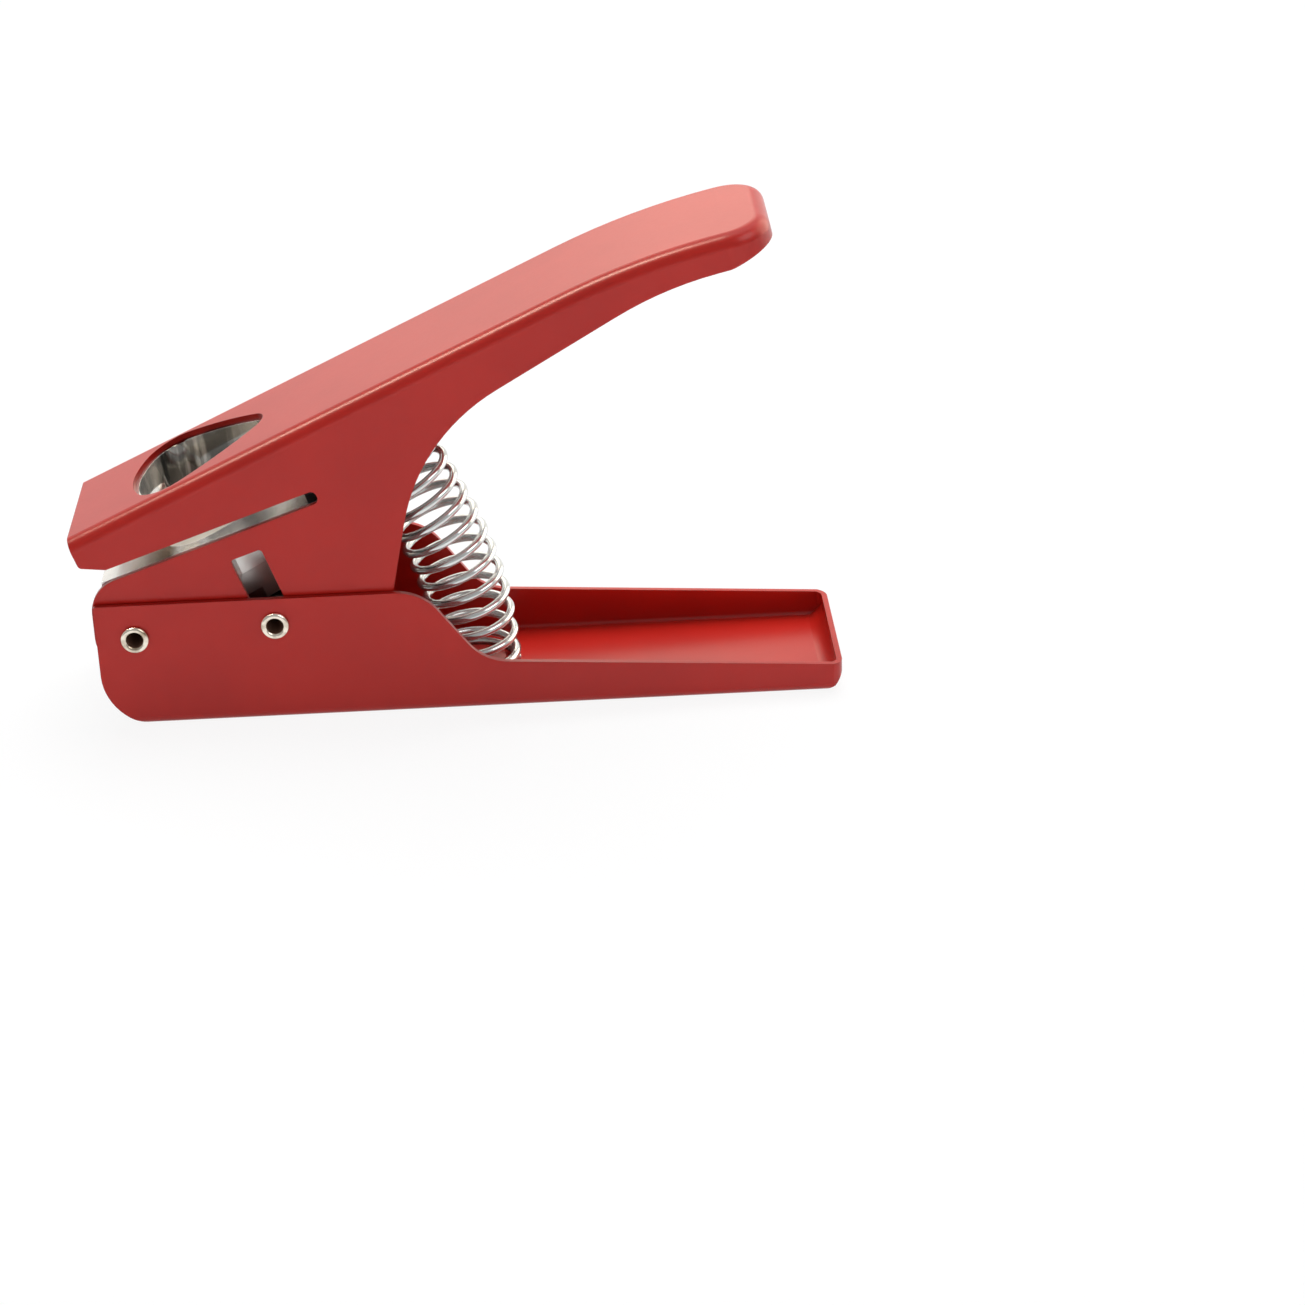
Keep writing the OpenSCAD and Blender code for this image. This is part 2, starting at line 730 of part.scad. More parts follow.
yoke_inset = 0.4;
punch_land = 1.5;
yoke_slot_height = 2 * drive_room;
yoke_slot_width = yoke_far - yoke_near + yoke_slot_height;
yoke_front = yoke_mid - yoke_slot_width / 2 - yoke_wall;
yoke_rear = yoke_mid + yoke_slot_width / 2 + yoke_wall;
screw_u = yoke_front - screw_head / 2 - 2 * screw_room;
screw_seat = punch_foot - yoke_flange + screw_head_height;

module punch() {
    half = pick_length / 2 - punch_land;
    color(nickel) on_slot() difference() {
        translate([pick_setback, 0, punch_foot]) linear_extrude(punch_height) pick(0);
        translate([pick_setback + pick_length / 2, 0, punch_top]) across(base_width)
            polygon([[0, -punch_hollow], [2 * half, punch_hollow], [-2 * half, punch_hollow]]);
        translate([screw_u, 0, punch_foot - over]) pair(punch_screw_span)
            cylinder(d = screw_diameter + 2 * pin_fit, h = punch_screw_grip + 2 * over);
    }
}

module punch_yoke() {
    stem_foot = yoke_pin_n - drive_room - yoke_wall;
    flange_front = screw_u - screw_head;
    slot_run = yoke_far - yoke_near;
    color(nickel) on_slot() difference() {
        intersection() {
            union() {
                translate([flange_front, -base_width / 2, punch_foot - yoke_flange])
                    cube([yoke_rear - flange_front, base_width, yoke_flange]);
                translate([yoke_front, -yoke_width / 2, stem_foot])
                    cube([yoke_rear - yoke_front, yoke_width, punch_foot - stem_foot]);
            }
            translate([pick_setback, 0, stem_foot - over])
                linear_extrude(punch_foot - stem_foot + 2 * over) pick(-yoke_inset);
        }
        translate([yoke_mid, 0, yoke_pin_n]) across(base_width) {
            square([slot_run, yoke_slot_height], center = true);
            for (side = [-1, 1]) translate([side * slot_run / 2, 0])
                circle(d = yoke_slot_height);
        }
        translate([screw_u, 0, screw_seat]) pair(punch_screw_span) {
            translate([0, 0, -over]) cylinder(d = screw_diameter + 2 * pin_fit, h = yoke_flange + over);
            mirror([0, 0, 1]) cylinder(d = screw_head + 2 * screw_room, h = yoke_flange);
        }
    }
}

module punch_screws() {
    color(steel) on_slot() translate([screw_u, 0, screw_seat])
        pair(punch_screw_span) cap_screw(punch_foot + punch_screw_grip - screw_seat);
}

// Spring

end_pitch = wire + end_turn_gap;
free_length = spring_length - wire - 2 * spring_gap;
open_pitch = (free_length - 2 * end_pitch) / (spring_turns - 2);

// Distance along the axis after a number of turns: close turns at both ends
function axis_run(turn) = spring_gap + wire / 2 + end_pitch * min(turn, 1)
    + open_pitch * max(0, min(turn, spring_turns - 1) - 1)
    + end_pitch * max(0, turn - spring_turns + 1);
function axis_lean(run) = min(run / spring_bow * 180 / PI, rest_angle);
function axis_point(run) = let(a = axis_lean(run), rest = max(0, run - bow_run))
    [pivot_x + spring_foot - spring_bow * (1 - cos(a)) - rest * sin(a),
        base_sheet + spring_bow * sin(a) + rest * cos(a)];

// Centre of the wire, and one point of the ring round it
function wire_point(turn, out, up) =
    let(run = axis_run(turn), a = axis_lean(run), c = axis_point(run), r = spring_mean + out)
    [c.x + r * cos(360 * turn) * cos(a) - up * sin(a), r * sin(360 * turn),
        c.y + r * cos(360 * turn) * sin(a) + up * cos(a)];
ring_count = spring_turns * turn_rings + 1;
spring_points = [for (i = [0:ring_count - 1], k = [0:wire_sides - 1])
    wire_point(i / turn_rings, wire_radius * cos(360 * k / wire_sides),
        wire_radius * sin(360 * k / wire_sides))];
function ring_index(i, k) = i * wire_sides + k % wire_sides;
spring_faces = concat(
    [for (k = [1:wire_sides - 2]) [ring_index(0, 0), ring_index(0, k + 1), ring_index(0, k)]],
    [for (i = [0:ring_count - 2], k = [0:wire_sides - 1])
        [ring_index(i, k), ring_index(i, k + 1), ring_index(i + 1, k)]],
    [for (i = [0:ring_count - 2], k = [0:wire_sides - 1])
        [ring_index(i, k + 1), ring_index(i + 1, k + 1), ring_index(i + 1, k)]],
    [for (k = [1:wire_sides - 2]) [ring_index(ring_count - 1, 0), ring_index(ring_count - 1, k),
        ring_index(ring_count - 1, k + 1)]]);

// Least gap between the wire of one turn and the next, measured on points
gap_list = [for (i = [0:ring_count - 1 - turn_rings], j = [i + turn_rings - 1:i + turn_rings + 1])
    if (j < ring_count) norm(wire_point(i / turn_rings, 0, 0) - wire_point(j / turn_rings, 0, 0))];
echo(least_gap_between_turns = min(gap_list) - 2 * wire_radius);

module return_spring() {
    color(zinc) polyhedron(spring_points, spring_faces);
}

base_channel();
pivot_rivet();
pivot_sleeve();
drive_rivet();
drive_sleeve();
spring_post();
return_spring();
lever_shell();
die_plate();
strip_stop();
guide_block();
die_screws();
dowel_pins();
spring_seat();
punch();
punch_yoke();
punch_screws();
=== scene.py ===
"""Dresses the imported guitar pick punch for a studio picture.

The sheet metal gets a satin red powder coat, the die set its plated, polished and ground faces, the rivets
their rolled heads and the return spring its round wire, all on a white floor under soft light.
"""

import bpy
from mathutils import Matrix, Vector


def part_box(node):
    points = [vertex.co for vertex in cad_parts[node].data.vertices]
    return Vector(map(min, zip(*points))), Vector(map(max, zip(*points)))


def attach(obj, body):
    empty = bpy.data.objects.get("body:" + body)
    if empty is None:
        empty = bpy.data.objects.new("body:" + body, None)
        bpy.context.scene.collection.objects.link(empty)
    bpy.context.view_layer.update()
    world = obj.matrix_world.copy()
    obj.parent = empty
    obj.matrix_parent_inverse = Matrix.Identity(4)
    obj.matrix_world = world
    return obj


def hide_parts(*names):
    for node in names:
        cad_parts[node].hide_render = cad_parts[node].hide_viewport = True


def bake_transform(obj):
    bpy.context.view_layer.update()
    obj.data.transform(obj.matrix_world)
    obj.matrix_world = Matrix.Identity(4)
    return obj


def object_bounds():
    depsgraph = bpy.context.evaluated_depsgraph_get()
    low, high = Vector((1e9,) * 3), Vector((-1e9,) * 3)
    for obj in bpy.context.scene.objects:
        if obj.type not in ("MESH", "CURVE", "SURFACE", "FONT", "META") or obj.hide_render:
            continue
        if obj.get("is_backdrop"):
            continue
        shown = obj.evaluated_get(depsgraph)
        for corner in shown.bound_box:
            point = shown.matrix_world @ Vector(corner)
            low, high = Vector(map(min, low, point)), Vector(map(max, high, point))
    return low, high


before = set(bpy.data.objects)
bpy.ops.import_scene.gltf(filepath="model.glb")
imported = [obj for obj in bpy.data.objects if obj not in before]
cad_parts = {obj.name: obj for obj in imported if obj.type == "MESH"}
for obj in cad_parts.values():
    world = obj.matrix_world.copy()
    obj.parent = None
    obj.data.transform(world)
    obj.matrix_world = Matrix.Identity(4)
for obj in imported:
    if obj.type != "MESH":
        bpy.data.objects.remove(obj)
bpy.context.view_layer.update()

import math
from typing import NamedTuple

import bpy
from mathutils import Matrix, Vector

bl_info = {
    "name": "Pick punch finishes",
    "version": (1, 0, 0),
    "blender": (4, 5, 0),
    "location": "View3D > Sidebar > Pick punch",
    "description": "Finishes, spring, rivets and stage for a hand-operated guitar pick punch",
    "category": "Object",
}

MM = 0.001

RED_NODES = ("base_channel", "lever_shell", "spring_post")
TURNED_NODES = ("pivot_sleeve", "drive_sleeve", "dowel_pins")
BLACK_NODES = ("strip_stop", "die_screws", "punch_screws")
RIVET_NODES = ("pivot_rivet", "drive_rivet")

# Values between which a look sets in: of noise, of the bend at a rounded edge, and of the square of a
# normal's rise.
THICK_COAT = (0.35, 0.65)
STREAKS = (0.28, 0.50)
COAT_EDGE = (0.02, 0.22)
WORN_EDGE = (0.02, 0.25)
UPRIGHT = (0.6, 0.4)

# The red coat: how much an edge takes of its own colour, how far the clouds and the waves change the
# roughness, and the waves' part in the relief.
COAT_EDGE_SHARE = 0.6
CLOUD_ROUGHNESS, PEEL_ROUGHNESS = 0.06, 0.05
PEEL_RELIEF = 0.7

# Where the painted shade on the window's punched edge lies inside the die's box, and over what distance it
# fades in.
WINDOW_FRONT, WINDOW_REAR, WINDOW_SIDE = 4 * MM, 6 * MM, 1 * MM
WINDOW_FADE = 1 * MM

# The metals: shade and softness of plain stains, and how far lines and stains change the roughness.
STAIN_SHADE, STAIN_FADE = 0.86, 0.3
LINE_ROUGHNESS, STAIN_ROUGHNESS = 0.10, 0.06
# A worn edge: its radius, how much brighter its colour is, and how much of that colour it takes.
WORN_RADIUS, WORN_GAIN, WORN_SHARE = 0.12 * MM, 1.15, 0.5
# Breadth of a streak, in lines.
STREAK_BREADTH = 4

# Painted light along a piece: a shade of a colour, and the parts of the length, from the front, between which
# it fades in. A second pair fades it out again.
# Painted shade over the guide behind its front end, which stands out into the light.
GUIDE_SHADE_PAST_FRONT = (0.88, (0.02, 0.10))
# Painted shade in a band across the guide, in the stain colour.
GUIDE_SHADE_BAND = (0.8, (0.10, 0.24), (0.31, 0.27))
# Painted shade toward the guide's rear, where the slot runs dark.
GUIDE_REAR_SHADE = (0.3, (0.70, 0.85))
# Painted reflection on the die: dark streaks over its front part, short of its front face, in place of the
# dark inside that it mirrors.
DIE_DARK_REFLECTION = (0.2, (-0.048, -0.016), (0.65, 0.45))
# Painted shade on the yoke, darker downward from its top: its shade, and how far below the top it is full.
YOKE_SHADE, YOKE_SHADE_DEPTH = 0.12, 10 * MM

# The spring's mesh: rings in a turn, sides of the wire, and how much of the wire's size its ends keep.
TURN_RINGS, WIRE_SIDES, EASED_END = 48, 14, 0.8
# The rivets' mesh: sides, and steps round the roll of a head. The tuck is the part of the roll's height
# below its widest place, and the undercut is the part of the tuck by which the head draws in there.
RIVET_SIDES, ROLL_STEPS = 72, 12
ROLL_TUCK, ROLL_UNDERCUT = 0.3, 0.2
# Faces within this distance of the bore belong to it.
BORE_MARGIN = 0.1 * MM

WHITE, WARM = (1, 1, 1), (1, 0.88, 0.70)
# The lights: place, width and height in metres, tint, and whether gloss alone shows the light. The others
# light all but gloss, so that the coat's colour and its gleam are set apart.
LIGHTS = {
    "key_light": ((0.16, 0.52, 1.12), (1.0, 1.0), WHITE, False),
    "front_card": ((0, -0.55, 0.03), (1.4, 0.05), WHITE, False),
    "back_light": ((-0.18, 1.13, 0.68), (0.7, 0.6), WARM, True),
    "edge_light": ((-0.56, 0.12, 1.12), (0.26, 0.66), WARM, True),
    "side_light": ((0.98, 0.58, 0.48), (1.1, 1.1), WARM, True),
    "top_light": ((0.70, -0.45, 0.85), (0.7, 0.7), WHITE, True),
}

# The floor: its shade to the light and to the camera, how much of it glows white near the part, where its
# shadow shows, and the distances in metres over which the rest turns white.
FLOOR_SHADE, FLOOR_SEEN_SHADE = 0.88, 0.95
FLOOR_GLOW, FLOOR_FADE = 0.9, (0.25, 0.9)
# The studio that metal mirrors: dim, but for a warm backdrop behind the part, up to a height.
STUDIO_STRENGTH = 0.42
BACKDROP_TINT = (1, 0.97, 0.91)
BACKDROP_START, BACKDROP_TOP = (-0.25, 0.25), (0.75, 0.45)

# The camera: width of its frame in millimetres, and the nearest that it sees in metres.
FILM_WIDTH, NEAREST = 36, 0.01
# Samples that round an edge off.
EDGE_SAMPLES = 6
# Sockets of a Mix node that mixes colours.
MIX_SHARE, MIX_FIRST, MIX_SECOND, MIX_RESULT = 0, 6, 7, 2


class PaintSettings(bpy.types.PropertyGroup):
    """The red coat of the sheet metal."""

    colour: bpy.props.FloatVectorProperty(
        name="Coat", description="Colour of the red coat", subtype="COLOR", size=3,
        default=(0.47, 0.0115, 0.0056), min=0, max=1)
    deep_colour: bpy.props.FloatVectorProperty(
        name="Deep coat", description="Colour where the coat lies thicker", subtype="COLOR", size=3,
        default=(0.42, 0.0095, 0.0050), min=0, max=1)
    edge_colour: bpy.props.FloatVectorProperty(
        name="Edge", description="Colour where the coat thins over a sheet edge", subtype="COLOR", size=3,
        default=(0.36, 0.0105, 0.0065), min=0, max=1)
    # Painted shade: a darker red on the window's punched edge, where the clear coat is taken off too.
    window_shade_colour: bpy.props.FloatVectorProperty(
        name="Window edge", description="Colour of the thin coat on the window's punched edge",
        subtype="COLOR", size=3, default=(0.29, 0.007, 0.004), min=0, max=1)
    roughness: bpy.props.FloatProperty(
        name="Roughness", description="Roughness of the satin surface", subtype="FACTOR",
        default=0.34, min=0, max=1)
    specular: bpy.props.FloatProperty(
        name="Specular", description="Specular level of the red coat", subtype="FACTOR",
        default=0.15, min=0, max=1)
    gloss: bpy.props.FloatProperty(
        name="Gloss", description="Weight of the clear layer on the coat", subtype="FACTOR",
        default=0.5, min=0, max=1)
    gloss_roughness: bpy.props.FloatProperty(
        name="Gloss roughness", description="Roughness of the clear layer", subtype="FACTOR",
        default=0.28, min=0, max=1)
    cloud: bpy.props.FloatProperty(
        name="Cloud", description="Size of the patches where the coat lies thicker", unit="LENGTH",
        default=28 * MM, min=5 * MM, max=100 * MM)
    peel: bpy.props.FloatProperty(
        name="Peel", description="Size of the waves in the baked coat", unit="LENGTH",
        default=1.1 * MM, min=0.2 * MM, max=5 * MM)
    grain: bpy.props.FloatProperty(
        name="Grain", description="Size of the powder's fine grain", unit="LENGTH",
        default=0.22 * MM, min=0.05 * MM, max=1 * MM)
    relief: bpy.props.FloatProperty(
        name="Relief", description="Height of the waves and the grain", unit="LENGTH",
        default=0.012 * MM, min=0, max=0.1 * MM)
    edge: bpy.props.FloatProperty(
        name="Edge rounding", description="Radius to which the coat rounds a sheet edge", unit="LENGTH",
        default=0.25 * MM, min=0.05 * MM, max=1 * MM)


class MetalSettings(bpy.types.PropertyGroup):
    """The bare and plated metals."""

    # The guide keeps this full colour only at its lit front; the rest takes painted shade.
    nickel: bpy.props.FloatVectorProperty(
        name="Nickel", description="Colour of the guide's bright nickel plate", subtype="COLOR", size=3,
        default=(0.98, 0.985, 0.98), min=0, max=1)
    die: bpy.props.FloatVectorProperty(
        name="Die", description="Colour of the polished die", subtype="COLOR", size=3,
        default=(0.85, 0.82, 0.76), min=0, max=1)
    punch: bpy.props.FloatVectorProperty(
        name="Punch", description="Colour of the ground punch and yoke", subtype="COLOR", size=3,
        default=(0.90, 0.875, 0.84), min=0, max=1)
    rivet: bpy.props.FloatVectorProperty(
        name="Rivet", description="Colour of the rivets' warm plate", subtype="COLOR", size=3,
        default=(0.90, 0.83, 0.71), min=0, max=1)
    rivet_bore: bpy.props.FloatVectorProperty(
        name="Rivet bore", description="Colour inside the rivets", subtype="COLOR", size=3,
        default=(0.24, 0.13, 0.09), min=0, max=1)
    # Colour of the real stains on the rivets, and also of the painted shade on the guide.
    tarnish_and_shade: bpy.props.FloatVectorProperty(
        name="Tarnish", description="Colour of the brown stains on the rivets and the guide",
        subtype="COLOR", size=3, default=(0.36, 0.27, 0.18), min=0, max=1)
    steel: bpy.props.FloatVectorProperty(
        name="Steel", description="Colour of plain machined steel", subtype="COLOR", size=3,
        default=(0.50, 0.49, 0.47), min=0, max=1)
    oxide: bpy.props.FloatVectorProperty(
        name="Black oxide", description="Colour of the blackened stop and cap screws", subtype="COLOR",
        size=3, default=(0.05, 0.05, 0.055), min=0, max=1)
    zinc: bpy.props.FloatVectorProperty(
        name="Zinc", description="Colour of the bright zinc on the spring wire", subtype="COLOR", size=3,
        default=(0.80, 0.82, 0.81), min=0, max=1)
    nickel_roughness: bpy.props.FloatProperty(
        name="Nickel roughness", description="Roughness of the guide's nickel plate", subtype="FACTOR",
        default=0.18, min=0, max=1)
    die_roughness: bpy.props.FloatProperty(
        name="Die roughness", description="Roughness of the polished die", subtype="FACTOR",
        default=0.08, min=0, max=1)
    punch_roughness: bpy.props.FloatProperty(
        name="Punch roughness", description="Roughness of the ground punch and yoke", subtype="FACTOR",
        default=0.38, min=0, max=1)
    rivet_roughness: bpy.props.FloatProperty(
        name="Rivet roughness", description="Roughness of the rivets' plate", subtype="FACTOR",
        default=0.17, min=0, max=1)
    steel_roughness: bpy.props.FloatProperty(
        name="Steel roughness", description="Roughness of machined steel", subtype="FACTOR",
        default=0.33, min=0, max=1)
    turned_roughness: bpy.props.FloatProperty(
        name="Turned roughness", description="Roughness of turned steel", subtype="FACTOR",
        default=0.25, min=0, max=1)
    oxide_roughness: bpy.props.FloatProperty(
        name="Oxide roughness", description="Roughness of the black oxide", subtype="FACTOR",
        default=0.43, min=0, max=1)
    zinc_roughness: bpy.props.FloatProperty(
        name="Zinc roughness", description="Roughness of the zinc plate", subtype="FACTOR",
        default=0.16, min=0, max=1)


class SpringSettings(bpy.types.PropertyGroup):
    """The wound return spring, from its foot on the floor to its seat under the lever."""

    wire: bpy.props.FloatProperty(
        name="Wire", description="Wire diameter", unit="LENGTH", default=1.85 * MM)
    outside: bpy.props.FloatProperty(
        name="Outside", description="Outside diameter of the spring", unit="LENGTH", default=18.95 * MM)
    turns: bpy.props.IntProperty(name="Turns", description="Number of turns", default=16, min=4)
    bow: bpy.props.FloatProperty(
        name="Bow", description="Radius of the bow in the lower half", unit="LENGTH", default=85 * MM)
    lean: bpy.props.FloatProperty(
        name="Lean", description="Lean of the straight upper half", unit="ROTATION",
        default=math.radians(25))
    length: bpy.props.FloatProperty(
        name="Length", description="Length along the axis, seat to seat", unit="LENGTH",
        default=69.09 * MM)
    seat_gap: bpy.props.FloatProperty(
        name="Seat gap", description="Gap between the end turns and their seats", unit="LENGTH",
        default=0.15 * MM)
    end_pitch: bpy.props.FloatProperty(
        name="End pitch", description="Pitch of the closed end turns", unit="LENGTH", default=2.05 * MM)


class RivetSettings(bpy.types.PropertyGroup):
    """The hollow rivets with their rolled heads."""

    bore: bpy.props.FloatProperty(
        name="Bore", description="Diameter of the bore", unit="LENGTH", default=3.3 * MM)
    shank: bpy.props.FloatProperty(
        name="Shank", description="Outside diameter of the shank", unit="LENGTH", default=4.2 * MM)
    head: bpy.props.FloatProperty(
        name="Head", description="Diameter of the rolled head", unit="LENGTH", default=6 * MM)
    grip: bpy.props.FloatProperty(
        name="Grip", description="Distance between the heads", unit="LENGTH", default=38 * MM)
    roll: bpy.props.FloatProperty(
        name="Roll", description="Height of the rolled head", unit="LENGTH", default=1 * MM)


class StageSettings(bpy.types.PropertyGroup):
    """Floor, light and camera."""

    camera_place: bpy.props.FloatVectorProperty(
        name="Camera", description="Place of the camera", subtype="TRANSLATION", size=3,
        default=(16.4747 * MM, -615.2458 * MM, 302.7923 * MM))
    camera_yaw: bpy.props.FloatProperty(
        name="Yaw", description="Turn of the camera to the right", unit="ROTATION",
        default=math.radians(2.05331))
    camera_tilt: bpy.props.FloatProperty(
        name="Tilt", description="Downward tilt of the camera", unit="ROTATION",
        default=math.radians(26.03334))
    camera_roll: bpy.props.FloatProperty(
        name="Roll", description="Roll of the camera", unit="ROTATION", default=math.radians(-1.88416))
    lens: bpy.props.FloatProperty(
        name="Lens", description="Focal length on a 36 mm frame, in millimetres", unit="CAMERA",
        default=86.547)
    sky: bpy.props.FloatProperty(
        name="Sky", description="Strength of the soft light from all round", default=0.28, min=0)
    key_light: bpy.props.FloatProperty(
        name="Key light", description="Power of the large soft light overhead", unit="POWER",
        default=20.5, min=0)
    front_card: bpy.props.FloatProperty(
        name="Front card", description="Power of the low white card in front", unit="POWER",
        default=1.1, min=0)
    back_light: bpy.props.FloatProperty(
        name="Back light", description="Power of the warm gleam from behind", unit="POWER",
        default=1.7, min=0)
    edge_light: bpy.props.FloatProperty(
        name="Edge light", description="Power of the warm, narrow gleam from above on the left",
        unit="POWER", default=13, min=0)
    side_light: bpy.props.FloatProperty(
        name="Side light", description="Power of the warm, broad gleam from the right", unit="POWER",
        default=7.5, min=0)
    top_light: bpy.props.FloatProperty(
        name="Top light", description="Power of the white gleam from above on the right", unit="POWER",
        default=3.5, min=0)
    floor_size: bpy.props.FloatProperty(
        name="Floor", description="Width of the floor", unit="LENGTH", default=12, min=1)


class Shade:
    """A shader socket that takes part in Python sums; each sum adds one Math node."""

    def __init__(self, tree, socket):
        self.tree = tree
        self.socket = socket

    def maths(self, operation, first, second):
        return self.tree.node("ShaderNodeMath", {"operation": operation}, {0: first, 1: second})

    def __add__(self, other):
        return self.maths("ADD", self, other)

    def __sub__(self, other):
        return self.maths("SUBTRACT", self, other)

    def __rsub__(self, other):
        return self.maths("SUBTRACT", other, self)

    def __mul__(self, other):
        return self.maths("MULTIPLY", self, other)

    __radd__ = __add__
    __rmul__ = __mul__

    def at_most(self, limit):
        return self.maths("MINIMUM", self, limit)


class NodeTree:
    """A node tree under construction, in place of the one that its owner had."""

    def __init__(self, owner):
        owner.use_nodes = True
        self.tree = owner.node_tree
        self.tree.nodes.clear()
        self.spot = None

    def node(self, kind, settings=None, inputs=None, output=0):
        """Adds a node with its settings and then its inputs, and gives back one of its outputs."""
        made = self.tree.nodes.new(kind)
        for name, value in (settings or {}).items():
            setattr(made, name, value)
        for name, value in (inputs or {}).items():
            if isinstance(value, Shade):
                self.tree.links.new(value.socket, made.inputs[name])
            else:
                made.inputs[name].default_value = value
        return Shade(self, made.outputs[output]) if len(made.outputs) else None

    def place(self):
        """Place on the piece, in metres, from one node for the whole tree."""
        if self.spot is None:
            self.spot = self.node("ShaderNodeTexCoord", output="Object")
        return self.spot

    def along(self, vector, axis):
        """A vector's reach along one axis."""
        return self.node("ShaderNodeSeparateXYZ", inputs={"Vector": vector}, output=axis)

    def noise(self, size, detail, stretch=None):
        """Soft random spots of about this size in metres, drawn out along an axis by a stretch."""
        spot = self.place()
        if stretch:
            spot = self.node("ShaderNodeMapping", inputs={
                "Vector": spot, "Scale": [1 / s for s in stretch]})
        return self.node("ShaderNodeTexNoise", inputs={"Vector": spot, "Scale": 1 / size, "Detail": detail})

    def ramp(self, value, clear, full):
        """Nought up to the clear value, one from the full one on, and straight between them."""
        return self.node("ShaderNodeMapRange", {"clamp": True}, {
            "Value": value, "From Min": clear, "From Max": full})

    def fade(self, axis, clear, full):
        """Nought at one place along an axis of the piece and one at another."""
        return self.ramp(self.along(self.place(), axis), clear, full)

    def blend(self, share, first, second):
        """Colours mixed by a share of the second."""
        return self.node("ShaderNodeMix", {"data_type": "RGBA"}, {
            MIX_SHARE: share, MIX_FIRST: first, MIX_SECOND: second}, MIX_RESULT)

    def mix(self, share, first, second):
        """Shaders mixed by a share of the second."""
        return self.node("ShaderNodeMixShader", inputs={0: share, 1: first, 2: second})

    def rounded(self, radius):
        """Normal with the sharp edges rounded off, and how far it bends from the surface's own."""
        soft = self.node("ShaderNodeBevel", {"samples": EDGE_SAMPLES}, {"Radius": radius})
        own = self.node("ShaderNodeNewGeometry", output="Normal")
        return soft, 1 - self.node("ShaderNodeVectorMath", {"operation": "DOT_PRODUCT"},
                                   {0: soft, 1: own}, "Value")

    def bump(self, height, depth, normal):
        """Normal with a relief of this depth in metres."""
        return self.node("ShaderNodeBump", inputs={
            "Height": height, "Strength": 1.0, "Distance": depth, "Normal": normal})

    def finish(self, **inputs):
        """Ends the tree in a Principled shader; underscores in the names stand for spaces."""
        shader = self.node("ShaderNodeBsdfPrincipled", inputs={
            name.replace("_", " "): value for name, value in inputs.items()})
        self.node("ShaderNodeOutputMaterial", inputs={"Surface": shader})


class Lines(NamedTuple):
    """Fine lines in a metal: how far they are drawn out along each axis, their width and their depth."""

    stretch: tuple
    width: float = 0.35 * MM
    depth: float = 0.003 * MM


class Mark(NamedTuple):
    """A painted shade or painted reflection that a metal takes where all of the fades are full, evenly or in
    streaks along its lines.
    """

    colour: tuple
    fades: list
    streaky: bool = False


GUIDE_LINES = Lines((1, 12, 1))
DIE_LINES = Lines((1, 1, 14), 0.6 * MM, 0.006 * MM)
GROUND_LINES = Lines((1, 1, 10))
MACHINED_LINES = Lines((10, 1, 1))
TURNED_LINES = Lines((12, 0.6, 12))
BORE_LINES = Lines((1, 8, 1))
EVEN_GRAIN = Lines((1, 1, 1))
WIRE_GRAIN = Lines((1, 1, 1), 0.8 * MM, 0.002 * MM)


def solid_colour(colour, shade=1.0):
    """A colour, or a darker shade of it, as a socket takes it."""
    return (*[shade * c for c in colour], 1.0)


def new_material(name):
    """A new material and its empty tree."""
    material = bpy.data.materials.new(name)
    return material, NodeTree(material)


def window_edge_shade(tree):
    """Mask of the painted shade: one on the punched edge of the lever's window, which lies over the die."""
    rise = tree.along(tree.node("ShaderNodeNewGeometry", output="True Normal"), "Z")
    low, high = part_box("die_plate")
    sides = (("X", low.x + WINDOW_FRONT, 1), ("X", high.x - WINDOW_REAR, -1),
             ("Y", low.y + WINDOW_SIDE, 1), ("Y", high.y - WINDOW_SIDE, -1))
    fades = [tree.fade(axis, start, start + inward * WINDOW_FADE) for axis, start, inward in sides]
    return math.prod(fades, start=tree.ramp(rise * rise, *UPRIGHT))


def red_powder_coat(paint):
    """Satin red in soft clouds, with waves and grain, darker at sheet edges, with painted shade and no clear
    coat on the window's edge.
    """
    material, tree = new_material("red_powder_coat")
    normal, bend = tree.rounded(paint.edge)
    cloud = tree.noise(paint.cloud, detail=3)
    peel = tree.noise(paint.peel, detail=2)
    grain = tree.noise(paint.grain, detail=1)
    # Painted shade on the window's punched edge, where the coat's gleam is also taken off.
    window = window_edge_shade(tree)
    coat = tree.blend(
        tree.ramp(cloud, *THICK_COAT), solid_colour(paint.colour), solid_colour(paint.deep_colour))
    edged = tree.blend(
        tree.ramp(bend, *COAT_EDGE) * COAT_EDGE_SHARE, coat, solid_colour(paint.edge_colour))
    smoothest = paint.roughness - (CLOUD_ROUGHNESS + PEEL_ROUGHNESS) / 2
    tree.finish(
        Base_Color=tree.blend(window, edged, solid_colour(paint.window_shade_colour)),
        Roughness=cloud * CLOUD_ROUGHNESS + peel * PEEL_ROUGHNESS + smoothest,
        Normal=tree.bump(peel * PEEL_RELIEF + grain * (1 - PEEL_RELIEF), paint.relief, normal),
        Specular_IOR_Level=paint.specular,
        Coat_Weight=(1 - window) * paint.gloss,
        Coat_Roughness=paint.gloss_roughness)
    return material


def mark_along(node, colour, shade, *parts, streaky=False):
    """Mark in a shade of a colour that fades in or out between parts of a node's length."""
    front, rear = [corner.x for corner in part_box(node)]
    fades = [("X", *[front + part * (rear - front) for part in ends]) for ends in parts]
    return Mark(solid_colour(colour, shade), fades, streaky)


